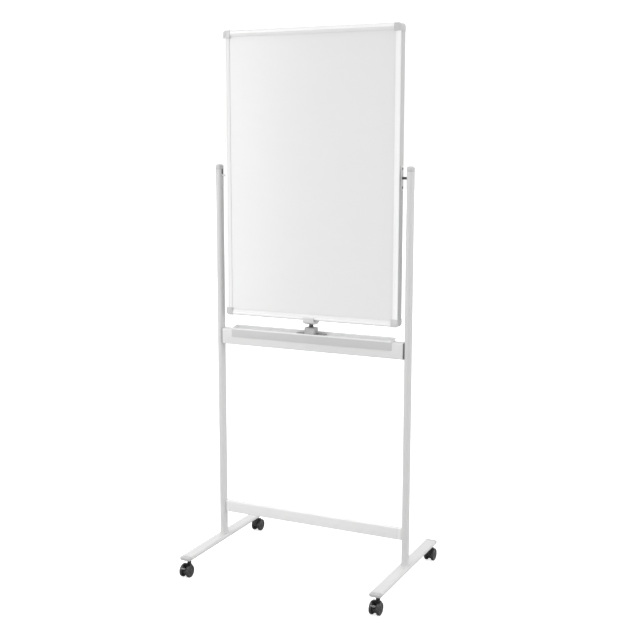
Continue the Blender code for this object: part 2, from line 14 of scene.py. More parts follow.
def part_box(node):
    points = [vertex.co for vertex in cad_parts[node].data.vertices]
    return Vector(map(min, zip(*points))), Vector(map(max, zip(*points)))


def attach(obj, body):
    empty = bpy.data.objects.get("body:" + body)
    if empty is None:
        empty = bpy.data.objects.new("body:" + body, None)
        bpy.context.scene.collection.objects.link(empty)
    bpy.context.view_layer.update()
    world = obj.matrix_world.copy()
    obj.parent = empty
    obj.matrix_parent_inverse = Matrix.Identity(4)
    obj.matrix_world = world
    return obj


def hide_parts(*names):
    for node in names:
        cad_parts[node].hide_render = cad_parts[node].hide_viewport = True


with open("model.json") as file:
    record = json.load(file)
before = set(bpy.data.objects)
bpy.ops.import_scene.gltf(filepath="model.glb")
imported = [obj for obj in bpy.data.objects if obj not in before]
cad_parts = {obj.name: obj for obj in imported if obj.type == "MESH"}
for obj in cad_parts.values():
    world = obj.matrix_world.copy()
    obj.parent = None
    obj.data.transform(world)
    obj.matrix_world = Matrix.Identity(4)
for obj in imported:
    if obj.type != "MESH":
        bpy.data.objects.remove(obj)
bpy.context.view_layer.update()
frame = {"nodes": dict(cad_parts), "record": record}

RECORD = frame["record"]
BODY_OF = {node: body for body, nodes in RECORD["behaviour"]["bodies"].items() for node in nodes}
SLOT_OF = {part["node"]: part["material_slot"] for part in RECORD["subparts"]}

FIT = 0.0003  # air between two pieces that touch
CHAMFER = 0.0003  # on the edges of moulded ends
TUBE_WALL = 0.0015
TRAY_SHEET = 0.0012
SAME_POINT = 1e-6
ROUNDED_FROM = 32  # degrees between two faces, from which their edge is rounded
SHARP_FROM = 48  # and from which it shades sharp
SIDES = (("left", -1), ("right", 1))
ENDS = (("front", -1), ("rear", 1))

# Frame rails and corner caps
RAIL_ACROSS = 0.0195
RAIL_FLAT = 0.0110  # width of the flat face, where the slope starts
RAIL_LIP = 0.0118  # depth of the lip on the sheet, and at its tip
RAIL_TIP = 0.0125
UPRIGHT_ROUNDING = 0.0030
ACROSS_ROUNDING = 0.0066
CORNER_RADIUS = 0.0100
CORNER_EDGE = 0.0022  # rounding of a corner cap's front and rear edges
CORNER_WALL = 0.0066  # of a corner cap, outside the pocket for the rails

# Pivots
SCREW_SPACING = 0.028  # from the pivot to each of its screws
PIVOT_PLATE = 0.0025
SCREW_HOLE = 0.0020
STUD_RADIUS = 0.0040
STUD_HEAD = 0.0060
SLOT_HALF = 0.0043

# Catch
CATCH_SCREW_X = 0.040
NECK_RADIUS = 0.0070

# Casters
STEM_RADIUS = 0.0040
STEM_HOLE = 0.0043
AXLE_HOLE = 0.0023
LEVER_PIVOT = (0.0080, 0.0075)  # away from the stem and up, from the axle

# Light
FLOOR_GLOW = 0.75  # seen by the camera only
AMBIENT = 0.42
GLOSSY_AMBIENT = 0.90
BACKDROP = 1.1


# Outlines: lists of 2-D points


def arc(centre, radius, first, last, steps):
    """Points on an arc from the angle first to the angle last, in degrees, both ends included."""
    angles = [math.radians(first + (last - first) * i / steps) for i in range(steps + 1)]
    return [(centre[0] + radius * math.cos(a), centre[1] + radius * math.sin(a)) for a in angles]


def circle(radius, steps=48, centre=(0.0, 0.0)):
    return arc(centre, radius, 0, 360 - 360 / steps, steps - 1)


def rounded_box(width, height, radius, steps=8):
    x, y = width / 2 - radius, height / 2 - radius
    corners = [((x, y), 0), ((-x, y), 90), ((-x, -y), 180), ((x, -y), 270)]
    return [p for centre, start in corners for p in arc(centre, radius, start, start + 90, steps)]


def flat_oval(width, height, inset=0.0, steps=18):
    """A box with two half-round sides, its straight sides along the longer of the two sizes."""
    width, height = width - 2 * inset, height - 2 * inset
    radius = min(width, height) / 2
    if width > height:
        x = width / 2 - radius
        return arc((x, 0), radius, -90, 90, steps) + arc((-x, 0), radius, 90, 270, steps)
    y = height / 2 - radius
    return arc((0, y), radius, 0, 180, steps) + arc((0, -y), radius, 180, 360, steps)


def filleted(corners, steps=5):
    """The closed outline through corners given as (x, y, radius), each rounded to its radius."""
    outline = []
    count = len(corners)
    for i, (x, y, radius) in enumerate(corners):
        here = Vector((x, y))
        before = (Vector(corners[i - 1][:2]) - here).normalized()
        after = (Vector(corners[(i + 1) % count][:2]) - here).normalized()
        bend = before.angle(after)
        if radius <= 0.0 or bend > math.radians(179):
            outline.append((x, y))
            continue
        reach = radius / math.tan(bend / 2)
        middle = here + (before + after).normalized() * (radius / math.sin(bend / 2))
        start, end = here + before * reach - middle, here + after * reach - middle
        sweep = start.angle_signed(end)
        for step in range(steps + 1):
            point = middle + Matrix.Rotation(-sweep * step / steps, 2) @ start
            outline.append((point.x, point.y))
    return outline


def shifted(outline, offset):
    return [(p[0] + offset[0], p[1] + offset[1]) for p in outline]


# Meshes


def along_x(x, p):
    return (x, p[0], p[1])


def along_y(y, p):
    return (p[0], y, p[1])


def along_z(z, p):
    return (p[0], p[1], z)


def solid(name, rings, ring_shaped=False):
    """A closed mesh through rings of points. A ring-shaped one joins its last ring to its first."""
    size = len(rings[0])
    points = [p for ring in rings for p in ring]
    spans = len(rings) if ring_shaped else len(rings) - 1
    faces = []
    for i in range(spans):
        low, high = i * size, (i + 1) % len(rings) * size
        for j in range(size):
            k = (j + 1) % size
            faces.append((low + j, low + k, high + k, high + j))
    if not ring_shaped:
        faces.append(tuple(range(size))[::-1])
        faces.append(tuple(range((len(rings) - 1) * size, len(rings) * size)))
    mesh = bpy.data.meshes.new(name)
    mesh.from_pydata(points, [], faces)
    work = bmesh.new()
    work.from_mesh(mesh)
    bmesh.ops.recalc_face_normals(work, faces=work.faces)
    work.to_mesh(mesh)
    work.free()
    obj = bpy.data.objects.new(name, mesh)
    bpy.context.scene.collection.objects.link(obj)
    return obj


def loft(name, layers, axis, offset=(0.0, 0.0), ring_shaped=False):
    """A solid through outlines at positions along an axis: layers are (position, outline) pairs."""
    rings = [[axis(at, p) for p in shifted(outline, offset)] for at, outline in layers]
    return solid(name, rings, ring_shaped)


def bar(name, outline, axis, start, end, offset=(0.0, 0.0)):
    return loft(name, [(start, outline), (end, outline)], axis, offset)


def tube(name, outer, inner, axis, start, end, offset=(0.0, 0.0)):
    layers = [(start, outer), (end, outer), (end, inner), (start, inner)]
    return loft(name, layers, axis, offset, ring_shaped=True)


def block(name, low, high):
    outline = [(low[0], low[1]), (high[0], low[1]), (high[0], high[1]), (low[0], high[1])]
    return bar(name, outline, along_z, low[2], high[2])


def combined(obj, others, operation):
    """obj with the others cut from it or joined to it. The others are used up."""
    for other in others:
        step = obj.modifiers.new("step", "BOOLEAN")
        step.operation = operation
        step.solver = "EXACT"
        step.object = other
    bpy.context.view_layer.update()
    graph = bpy.context.evaluated_depsgraph_get()
    made = bpy.data.meshes.new_from_object(obj.evaluated_get(graph))
    obj.modifiers.clear()
    obj.data = made
    for other in others:
        bpy.data.objects.remove(other)
    return obj


def cut(obj, *others):
    return combined(obj, others, "DIFFERENCE")


def join(obj, *others):
    return combined(obj, others, "UNION")


def soften(obj, width=0.0004):
    """Rounds the edges that bend enough to the width, and shades the faces smooth between sharp edges."""
    work = bmesh.new()
    work.from_mesh(obj.data)
    bmesh.ops.remove_doubles(work, verts=work.verts, dist=SAME_POINT)
    bmesh.ops.dissolve_degenerate(work, edges=work.edges, dist=SAME_POINT)
    if width:
        limit = math.radians(ROUNDED_FROM)
        sharp = [e for e in work.edges if e.is_manifold and e.calc_face_angle(0.0) > limit]
        bmesh.ops.bevel(
            work,
            geom=sharp,
            offset=width,
            offset_type="OFFSET",
            segments=2,
            profile=0.6,
            affect="EDGES",
            clamp_overlap=True,
        )
    for face in work.faces:
        face.smooth = True
    for edge in work.edges:
        edge.smooth = edge.calc_face_angle(0.0) < math.radians(SHARP_FROM)
    bmesh.ops.recalc_face_normals(work, faces=work.faces)
    work.to_mesh(obj.data)
    work.free()
    return obj


def stand_for(obj, node, look=None):
    """obj takes the place of a CAD node: it rides on the node's body and wears its slot's material."""
    obj.data.materials.clear()
    obj.data.materials.append(LOOKS[look or SLOT_OF[node]])
    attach(obj, BODY_OF[node])
    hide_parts(node)
    return obj


def detail(obj, node, look=None):
    """A small extra piece on the body that a CAD node rides on."""
    obj.data.materials.clear()
    obj.data.materials.append(LOOKS[look or SLOT_OF[node]])
    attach(obj, BODY_OF[node])
    return obj


def extent(node):
    """Lowest corner, highest corner and middle of a CAD node."""
    low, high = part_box(node)
    return low, high, (low + high) / 2


# Materials


class Nodes:
    """Short calls for one material's node tree."""

    def __init__(self, name):
        self.material = bpy.data.materials.new(name)
        self.material.use_nodes = True
        self.tree = self.material.node_tree
        self.shader = self.tree.nodes["Principled BSDF"]
        self.position = self.add("ShaderNodeTexCoord").outputs["Object"]

    def add(self, kind, **settings):
        node = self.tree.nodes.new(kind)
        for key, value in settings.items():
            setattr(node, key, value)
        return node

    def link(self, source, target):
        self.tree.links.new(source, target)

    def stretched(self, scale):
        mapping = self.add("ShaderNodeMapping")
        mapping.inputs["Scale"].default_value = scale
        self.link(self.position, mapping.inputs["Vector"])
        return mapping.outputs["Vector"]

    def noise(self, scale, detail_level=2.0, roughness=0.5, stretch=(1.0, 1.0, 1.0), distortion=0.0):
        """Noise in metres: scale is in cycles for each metre."""
        texture = self.add("ShaderNodeTexNoise")
        self.link(self.stretched(stretch), texture.inputs["Vector"])
        texture.inputs["Scale"].default_value = scale
        texture.inputs["Detail"].default_value = detail_level
        texture.inputs["Roughness"].default_value = roughness
        texture.inputs["Distortion"].default_value = distortion
        return texture.outputs["Fac"]

    def grain(self, scale):
        texture = self.add("ShaderNodeTexVoronoi")
        self.link(self.position, texture.inputs["Vector"])
        texture.inputs["Scale"].default_value = scale
        return texture.outputs["Distance"]

    def ranged(self, value, low, high, start=0.3, stop=0.7):
        """The value from start to stop brought to low to high."""
        step = self.add("ShaderNodeMapRange")
        self.link(value, step.inputs["Value"])
        step.inputs["From Min"].default_value = start
        step.inputs["From Max"].default_value = stop
        step.inputs["To Min"].default_value = low
        step.inputs["To Max"].default_value = high
        return step.outputs["Result"]

    def ramp(self, value, stops):
        """Colours along the value: stops are (position, colour) pairs."""
        node = self.add("ShaderNodeValToRGB")
        elements = node.color_ramp.elements
        elements[0].position, elements[0].color = stops[0][0], (*stops[0][1], 1.0)
        elements[1].position, elements[1].color = stops[-1][0], (*stops[-1][1], 1.0)
        for at, colour in stops[1:-1]:
            elements.new(at).color = (*colour, 1.0)
        self.link(value, node.inputs["Fac"])
        return node.outputs["Color"]

    def mixed(self, share, first, second):
        node = self.add("ShaderNodeMix", data_type="RGBA")
        for value, socket in ((share, node.inputs[0]), (first, node.inputs[6]), (second, node.inputs[7])):
            if isinstance(value, bpy.types.NodeSocket):
                self.link(value, socket)
            else:
                socket.default_value = value if isinstance(value, float) else (*value, 1.0)
        return node.outputs[2]

    def bumps(self, layers):
        """Bump layers, each a (height, strength, depth in metres), one on the other."""
        normal = None
        for height, strength, depth in layers:
            bump = self.add("ShaderNodeBump")
            bump.inputs["Strength"].default_value = strength
            bump.inputs["Distance"].default_value = depth
            self.link(height, bump.inputs["Height"])
            if normal:
                self.link(normal, bump.inputs["Normal"])
            normal = bump.outputs["Normal"]
        self.link(normal, self.shader.inputs["Normal"])

    def facing(self, axis, low, high):
        """1 where the surface faces along one of the object's axes, in either direction."""
        turned = self.add("ShaderNodeTexCoord").outputs["Normal"]
        parts = self.add("ShaderNodeSeparateXYZ")
        self.link(turned, parts.inputs["Vector"])
        size = self.add("ShaderNodeMath", operation="ABSOLUTE")
        self.link(parts.outputs[axis], size.inputs[0])
        return self.ranged(size.outputs["Value"], 0.0, 1.0, low, high)

    def above(self, height):
        """1 above a height in the object's own space."""
        parts = self.add("ShaderNodeSeparateXYZ")
        self.link(self.position, parts.inputs["Vector"])
        return self.ranged(parts.outputs["Z"], 0.0, 1.0, height, height + 0.0005)

    def edges(self):
        """1 along edges that stand out, where a finish rubs off first."""
        geometry = self.add("ShaderNodeNewGeometry")
        return self.ranged(geometry.outputs["Pointiness"], 0.0, 1.0, 0.52, 0.60)

    def colour(self, value):
        self.link(value, self.shader.inputs["Base Color"])

    def roughness(self, value):
        self.link(value, self.shader.inputs["Roughness"])


def tinted(colour, factor):
    return tuple(min(1.0, c * factor) for c in colour)


def painted(name, colour, roughness=0.34, painted_light_above=None):
    """Powder coat on steel: orange peel, faint shade changes, and edges rubbed a little lighter.

    The fourth argument is (height, factor): above that height the coat is painted lighter by the factor, as
    painted light.
    """
    n = Nodes(name)
    cloud = n.noise(9.0, 3.0)
    base = n.ramp(cloud, [(0.3, tinted(colour, 0.972)), (0.7, colour)])
    # Painted light: above the given height the coat is lighter.
    if painted_light_above:
        height, factor = painted_light_above
        base = n.mixed(n.above(height), base, tinted(colour, factor))
    specks = n.noise(620.0, 1.0)
    base = n.mixed(n.ranged(specks, 0.0, 0.35, 0.70, 0.80), base, tinted(colour, 0.86))
    n.colour(n.mixed(n.edges(), base, tinted(colour, 1.04)))
    n.roughness(n.ranged(n.noise(34.0, 4.0), roughness - 0.05, roughness + 0.07))
    n.bumps([(n.noise(420.0, 1.5), 0.10, 0.0004), (n.grain(900.0), 0.05, 0.0002)])
    n.shader.inputs["Coat Weight"].default_value = 0.15
    n.shader.inputs["Coat Roughness"].default_value = 0.22
    return n.material


def extruded(name, colour, lengthwise):
    """White coated aluminium: fine die lines along the extrusion, small scuffs, and outer sides painted
    darker as painted shade.

    lengthwise is the number of the axis that the rail runs along.
    """
    n = Nodes(name)
    stretch = tuple(0.006 if i == lengthwise else 1.0 for i in range(3))
    lines = n.noise(1500.0, 2.0, 0.6, stretch)
    bands = n.noise(260.0, 2.0, 0.5, stretch)
    base = n.ramp(bands, [(0.3, tinted(colour, 0.965)), (0.7, colour)])
    scuffs = n.noise(70.0, 5.0, 0.65, distortion=0.6)
    base = n.mixed(n.ranged(scuffs, 0.0, 0.30, 0.66, 0.80), base, tinted(colour, 0.88))
    # Painted shade: faces turned to the rail's outer sides (left and right on the uprights, up and down on
    # the top and bottom rails) are painted darker by the side factor.
    turned = (0.40, 0.97) if lengthwise == 2 else (0.22, 0.90)
    side = n.facing(2 - lengthwise, *turned)
    n.colour(n.mixed(side, base, tinted(colour, SIDE_PAINTED_SHADE)))
    n.roughness(n.ranged(lines, 0.26, 0.40))
    n.bumps([(lines, 0.10, 0.00012), (n.noise(380.0, 1.0), 0.05, 0.0002)])
    n.shader.inputs["Coat Weight"].default_value = 0.10
    n.shader.inputs["Coat Roughness"].default_value = 0.25
    return n.material


def enamelled(name, colour):
    """Writing surface: satin enamel with a slow waviness and the faint haze that an eraser leaves."""
    n = Nodes(name)
    sweep = n.noise(7.0, 5.0, 0.6, (1.0, 1.0, 3.2), distortion=0.8)
    haze = n.ranged(sweep, 0.0, 1.0, 0.42, 0.72)
    n.colour(n.mixed(haze, tinted(colour, 0.992), colour))
    streaks = n.noise(60.0, 3.0, 0.6, (0.12, 1.0, 1.0), distortion=0.4)
    n.roughness(n.ranged(streaks, 0.17, 0.25))
    n.bumps([(n.noise(5.0, 1.0), 0.06, 0.004), (n.noise(520.0, 1.0), 0.03, 0.0002)])
    n.shader.inputs["Coat Weight"].default_value = 0.25
    n.shader.inputs["Coat Roughness"].default_value = 0.16
    return n.material


def moulded(name, colour, roughness=0.42):
    """Moulded plastic: fine spark-eroded grain, a slow sheen change, and edges polished by hands."""
    n = Nodes(name)
    cloud = n.noise(26.0, 3.0)
    base = n.ramp(cloud, [(0.3, tinted(colour, 0.94)), (0.7, tinted(colour, 1.02))])
    n.colour(n.mixed(n.edges(), base, tinted(colour, 1.18)))
    n.roughness(n.ranged(n.noise(60.0, 4.0), roughness - 0.06, roughness + 0.08))
    n.bumps([(n.grain(1500.0), 0.16, 0.00016), (n.noise(300.0, 2.0), 0.06, 0.0002)])
    return n.material


def metal(name, colour, roughness=0.3, metallic=1.0):
    """Plated or blackened steel: soft tumbled marks and worn edges."""
    n = Nodes(name)
    cloud = n.noise(90.0, 4.0, 0.6)
    base = n.ramp(cloud, [(0.3, tinted(colour, 0.82)), (0.7, tinted(colour, 1.08))])
    n.colour(n.mixed(n.edges(), base, tinted(colour, 1.7)))
    n.roughness(n.ranged(n.noise(400.0, 3.0), roughness - 0.07, roughness + 0.12))
    n.bumps([(n.noise(900.0, 2.0), 0.08, 0.0002)])
    n.shader.inputs["Metallic"].default_value = metallic
    return n.material


def rolled(name, colour):
    """Black nylon wheel: smooth skin, light dust and fine scuffs where it meets the floor."""
    n = Nodes(name)
    dust = n.noise(140.0, 5.0, 0.7)
    base = n.ramp(n.noise(40.0, 2.0), [(0.3, tinted(colour, 0.85)), (0.7, colour)])
    n.colour(n.mixed(n.ranged(dust, 0.0, 0.16, 0.52, 0.78), base, (0.12, 0.118, 0.115)))
    n.roughness(n.ranged(dust, 0.24, 0.46))
    scuffs = n.noise(700.0, 3.0, 0.6, (0.15, 1.0, 1.0))
    n.bumps([(scuffs, 0.10, 0.0002)])
    return n.material


def pressed_board(name, colour):
    """Honeycomb core of the board, seen only where a sheet is taken away."""
    n = Nodes(name)
    fibres = n.noise(180.0, 6.0, 0.7, (1.0, 1.0, 0.4))
    n.colour(n.ramp(fibres, [(0.3, tinted(colour, 0.75)), (0.7, tinted(colour, 1.1))]))
    n.roughness(n.ranged(fibres, 0.70, 0.90))
    n.bumps([(fibres, 0.3, 0.0006)])
    return n.material


FRAME_WHITE = (0.96, 0.96, 0.958)
# Painted shade: the frame's outer sides wear its white multiplied by this.
SIDE_PAINTED_SHADE = 0.57
STAND_WHITE = (0.72, 0.72, 0.718)
LOOKS = {
    "board_core": pressed_board("fibre_core", (0.60, 0.52, 0.40)),
    "writing_sheet_front": enamelled("enamel_front", (0.812, 0.812, 0.812)),
    "writing_sheet_rear": enamelled("enamel_rear", (0.812, 0.812, 0.812)),
    "frame": extruded("extruded_upright", FRAME_WHITE, 2),
    "frame_across": extruded("extruded_across", FRAME_WHITE, 0),
    "corner_cap": moulded("grey_corner_plastic", (0.58, 0.58, 0.58)),
    "pivot_plate": painted("plate_coat", (0.74, 0.74, 0.74)),
    # Near-black painted shade for the inside of the posts and the plugs of their caps, where only shade
    # shows through the slots.
    "painted_shade_black": metal("painted_shade_tube_inside", (0.05, 0.05, 0.05), 0.6, 0.3),
    "pivot_steel": metal("black_pivot_steel", (0.07, 0.07, 0.072), 0.32, 0.6),
    "stand_paint": painted("powder_coat", STAND_WHITE),
    # The next three are the stand's one powder coat at other brightnesses: darker on the posts and feet as
    # painted shade, lighter on the lower bar as painted light.
    "post_coat_painted_shade": painted("post_coat_painted_shade", (0.64, 0.64, 0.638)),
    "foot_coat_painted_shade": painted("foot_coat_painted_shade", (0.60, 0.60, 0.598)),
    "lower_bar_coat_painted_light": painted("lower_bar_coat_painted_light", (0.80, 0.80, 0.798)),
    "post_cap": moulded("grey_cap_plastic", (0.57, 0.57, 0.57)),
    "foot_cap": moulded("foot_end_plastic", (0.48, 0.48, 0.48)),
    "bar_bracket": moulded("white_bracket_plastic", (0.76, 0.76, 0.76)),
    "bar_end": moulded("dark_end_plastic", (0.26, 0.26, 0.262)),
    # The tray wears the stand's coat painted darker as painted shade, and lighter above its floor's height
    # as painted light.
    "tray": painted("tray_coat_painted_shade_and_light", (0.555, 0.555, 0.555), 0.36, painted_light_above=(0.7770, 1.62)),
    "catch_plate": metal("dark_catch_steel", (0.30, 0.30, 0.305), 0.34, 0.8),
    "catch_housing": moulded("catch_grey_plastic", (0.42, 0.42, 0.42)),
    "catch_slider": moulded("saddle_grey_plastic", (0.62, 0.62, 0.62)),
    "caster_steel": metal("zinc_plate", (0.42, 0.42, 0.43), 0.28),
    "caster_body": moulded("caster_black_plastic", (0.012, 0.012, 0.013), 0.36),
    "wheel": rolled("wheel_black_nylon", (0.020, 0.020, 0.021)),
    "brake_lever": moulded("lever_dark_plastic", (0.20, 0.20, 0.20), 0.36),
}


# Board


def rail_outline(half, rounding):
    """Section of a frame rail as (in from its outer edge, depth), with a groove where its slope starts."""
    groove = 0.0009
    near = [
        (0.006, -RAIL_LIP, 0.0),
        (RAIL_ACROSS, -RAIL_LIP, 0.0002),
        (RAIL_ACROSS, -RAIL_TIP, 0.0005),
        (RAIL_FLAT + 0.0008, -half + groove, 0.0002),
        (RAIL_FLAT + 0.0004, -half + groove, 0.0001),
        (RAIL_FLAT, -half + 0.00007, 0.0002),
        (0.0, -half, rounding),
    ]
    seam = [(0.0, -0.0007, 0.0002), (0.0005, -0.0003, 0.0001)]
    half_section = near + seam
    return filleted(half_section + [(x, -y, r) for x, y, r in half_section[::-1]], 6)


def make_rails():
    """The frame's four rails, each with the same section and its own rounding."""
    for name, side in (*SIDES, ("bottom", -1), ("top", 1)):
        node = "frame_rail_" + name
        low, high, middle = extent(node)
        upright = name in ("left", "right")
        face = (high.y - low.y) / 2
        outline = rail_outline(face, UPRIGHT_ROUNDING if upright else ACROSS_ROUNDING)
        if upright:
            edge = high.x if side > 0 else low.x
            section = [(edge - side * inward, depth) for inward, depth in outline]
            rail = bar(node + "_finish", section, along_z, low.z, high.z)
            for offset in (-SCREW_SPACING, SCREW_SPACING):
                hole = circle(SCREW_HOLE, 24, (0.0, middle.z + offset))
                cut(rail, bar("hole", hole, along_x, edge - side * 0.0050, edge + side * 0.001))
        else:
            edge = high.z if side > 0 else low.z
            section = [(depth, edge - side * inward) for inward, depth in outline]
            rail = bar(node + "_finish", section, along_x, low.x, high.x)
        stand_for(soften(rail, 0.0), node, "frame" if upright else "frame_across")


def make_corner_caps():
    """Grey plastic corners: rounded on every outer edge, with a step down to the rails' slope inside."""
    for level_name, level in (("bottom", -1), ("top", 1)):
        for side_name, side in SIDES:
            node = f"corner_cap_{level_name}_{side_name}"
            low, high, _ = extent(node)
            half = (high.y - low.y) / 2
            outer_x = high.x if side > 0 else low.x
            outer_z = high.z if level > 0 else low.z
            size = high.x - low.x

            layers = []
            for sign in (-1, 1):
                turns = [18 * step for step in range(6)]
                for turn in turns if sign < 0 else turns[::-1]:
                    inset = CORNER_EDGE * (1 - math.sin(math.radians(turn)))
                    sunk = CORNER_EDGE * (1 - math.cos(math.radians(turn)))
                    corners = [
                        (size, size, 0.0006),
                        (inset, size, 0.0004),
                        (inset, inset, CORNER_RADIUS - inset),
                        (size, inset, 0.0004),
                    ]
                    points = [(outer_x - side * x, outer_z - level * z) for x, z in filleted(corners, 12)]
                    layers.append((sign * (half - sunk), points))
            cap = loft(node + "_finish", layers, along_y)
            xs = sorted((outer_x - side * CORNER_WALL, outer_x - side * (size + 0.01)))
            zs = sorted((outer_z - level * CORNER_WALL, outer_z - level * (size + 0.01)))
            pocket = block("pocket", (xs[0], -RAIL_LIP, zs[0]), (xs[1], RAIL_LIP, zs[1]))
            stand_for(soften(cut(cap, pocket), 0.0003), node)


def cross_recess(depth, arm, width, centre, at, side, axis):
    """Two crossed blocks that cut the drive of a screw head."""
    made = []
    for long, short in ((arm, width), (width, arm)):
        outline = [(-long, -short), (long, -short), (long, short), (-long, short)]
        made.append(bar("recess", outline, axis, at - side * depth, at + side * 0.001, centre))
    return made


def make_pivots():
    """White plates with their studs, and the pan-head screws that hold them."""
    for side_name, side in SIDES:
        node = "pivot_bracket_" + side_name
        low, high, middle = extent(node)
        inner = low.x if side > 0 else high.x
        tip = high.x if side > 0 else low.x
        plate_at = inner + side * PIVOT_PLATE
        section = rounded_box(high.y - low.y, high.z - low.z, 0.005)
        plate = bar(node + "_finish", section, along_x, inner, plate_at, (0.0, middle.z))
        layers = [
            (plate_at, STUD_RADIUS),
            (tip - side * 0.0030, STUD_RADIUS),
            (tip - side * 0.0030, 0.0056),
            (tip - side * 0.0026, STUD_HEAD),
            (tip - side * 0.0004, STUD_HEAD),
            (tip, 0.0056),
        ]
        stud = loft(node + "_stud", [(at, circle(r, 32)) for at, r in layers], along_x, (0.0, middle.z))
        detail(soften(stud, 0.0), node, "pivot_steel" if side > 0 else "pivot_plate")
        holes = []
        for offset in (-SCREW_SPACING, SCREW_SPACING):
            hole = circle(SCREW_HOLE, 24, (0.0, middle.z + offset))
            holes.append(bar("hole", hole, along_x, inner - side * 0.001, plate_at + side * 0.001))
        stand_for(soften(cut(plate, *holes), 0.0003), node)
        for level_name, sign in (("low", -1), ("high", 1)):
            node = f"pivot_screw_{side_name}_{level_name}"
            low, high, middle_screw = extent(node)
            start = low.x if side > 0 else high.x
            end = high.x if side > 0 else low.x
            seat = end - side * 0.0016
            layers = [(start, 0.0010), (start + side * 0.0010, 0.0017), (seat, 0.0017)]
            layers += [(seat, 0.0034), (seat + side * 0.0005, 0.0034), (seat + side * 0.0011, 0.0029)]
            layers += [(seat + side * 0.0015, 0.0019), (end, 0.0006)]
            centre = (0.0, middle_screw.z)
            screw = loft(node + "_finish", [(at, circle(r, 28)) for at, r in layers], along_x, centre)
            cut(screw, *cross_recess(0.0010, 0.0015, 0.00035, centre, end, side, along_x))
            stand_for(soften(screw, 0.0), node)


# Stand


def make_posts():
    """Flat-oval tubes, each with its slot and cap, and a small weld fillet where it meets the foot."""
    for side_name, side in SIDES:
        node = side_name + "_post"
        low, high, middle = extent(node)
        width, depth = high.x - low.x, high.y - low.y
        weld = ((0.0, 0.0018), (0.0003, 0.0012), (0.0009, 0.0005), (0.0018, 0.0001), (0.0026, 0.0))
        layers = [(low.z + rise, flat_oval(width, depth, -flare)) for rise, flare in weld]
        layers.append((high.z, flat_oval(width, depth)))
        layers.append((high.z, flat_oval(width, depth, TUBE_WALL)))
        layers.append((low.z, flat_oval(width, depth, TUBE_WALL)))
        post = loft(node + "_finish", layers, along_z, (middle.x, middle.y), ring_shaped=True)
        pivot = extent("pivot_bracket_" + side_name)[2].z
        slot = arc((0.0, pivot), SLOT_HALF, 180, 360, 16)
        slot += [(SLOT_HALF, high.z + 0.01), (-SLOT_HALF, high.z + 0.01)]
        inner_face = low.x if side > 0 else high.x
        reach = (inner_face - side * 0.003, inner_face + side * 0.005)
        # The post wears the stand's coat painted darker: painted shade.
        stand_for(soften(cut(post, bar("slot", slot, along_x, *reach)), 0.0), node, "post_coat_painted_shade")
        # A near-black sleeve inside the tube behind the slot: painted shade for the dark inside of the
        # post.
        painted_shade_sleeve = tube(
            node + "_inside",
            flat_oval(width, depth, TUBE_WALL + 0.00005),
            flat_oval(width, depth, TUBE_WALL + 0.0003),
            along_z,
            pivot - 0.05,
            high.z - 0.0092,
            (middle.x, middle.y),
        )
        detail(soften(cut(painted_shade_sleeve, bar("slot", slot, along_x, *reach)), 0.0), node, "painted_shade_black")

        node = side_name + "_post_cap"
        cap_low, cap_high, _ = extent(node)
        base = high.z + FIT
        rise = cap_high.z - base
        layers = [(cap_low.z, flat_oval(width, depth, TUBE_WALL + 0.0008))]
        layers += [(cap_low.z + 0.001, flat_oval(width, depth, TUBE_WALL + FIT))]
        layers += [(base, flat_oval(width, depth, TUBE_WALL + FIT))]
        plug = loft(node + "_plug", layers, along_z, (middle.x, middle.y))
        # The plug wears the near-black painted shade, not the cap's grey, where it shows through the slot.
        detail(soften(plug, 0.0), node, "painted_shade_black")
        layers = [(base, flat_oval(width, depth, CHAMFER))]
        layers += [(base + CHAMFER, flat_oval(width, depth)), (base + 0.52 * rise, flat_oval(width, depth))]
        for step in range(1, 9):
            turn = math.radians(90 * step / 9)
            height = base + rise * (0.52 + 0.48 * math.sin(turn))
            layers.append((height, flat_oval(width, depth, 0.0072 * (1 - math.cos(turn)))))
        layers.append((cap_high.z, flat_oval(width, depth, 0.0078)))
        cap = loft(node + "_finish", layers, along_z, (middle.x, middle.y))
        stand_for(soften(cap, 0.0), node)


def make_feet():
    """Flat-oval tubes with caster holes, and their rounded end caps."""
    for side_name, side in SIDES:
        node = side_name + "_foot"
        low, high, middle = extent(node)
        width, height = high.x - low.x, high.z - low.z
        centre = (middle.x, middle.z)
        foot = tube(
            node + "_finish",
            flat_oval(width, height),
            flat_oval(width, height, TUBE_WALL),
            along_y,
            low.y,
            high.y,
            centre,
        )
        holes = []
        for end_name, end in ENDS:
            stem = extent(f"caster_stem_{end_name}_{side_name}")[2]
            hole = circle(STEM_HOLE, 24, (stem.x, stem.y))
            holes.append(bar("hole", hole, along_z, low.z - 0.001, low.z + TUBE_WALL + 0.001))
        # The foot wears the stand's coat painted darker: painted shade.
        stand_for(soften(cut(foot, *holes), 0.0), node, "foot_coat_painted_shade")
        for end_name, end in ENDS:
            node = f"{side_name}_foot_cap_{end_name}"
            cap_low, cap_high, _ = extent(node)
            tip = cap_high.y if end > 0 else cap_low.y
            start = cap_low.y if end > 0 else cap_high.y
            base = end * (high.y + FIT)
            reach = tip - base
            layers = [(start, flat_oval(width, height, TUBE_WALL + 0.0008))]
            layers += [(start + end * 0.001, flat_oval(width, height, TUBE_WALL + FIT))]
            layers += [(base, flat_oval(width, height, TUBE_WALL + FIT))]
            layers += [(base, flat_oval(width, height, CHAMFER))]
            layers += [(base + end * CHAMFER, flat_oval(width, height))]
            layers += [(base + 0.52 * reach, flat_oval(width, height))]
            for step in range(1, 9):
                turn = math.radians(90 * step / 9)
                at = base + reach * (0.52 + 0.48 * math.sin(turn))
                layers.append((at, flat_oval(width, height, 0.0045 * (1 - math.cos(turn)))))
            layers.append((tip, flat_oval(width, height, 0.0047)))
            cap = loft(node + "_finish", layers, along_y, centre)
            stand_for(soften(cap, 0.0), node)


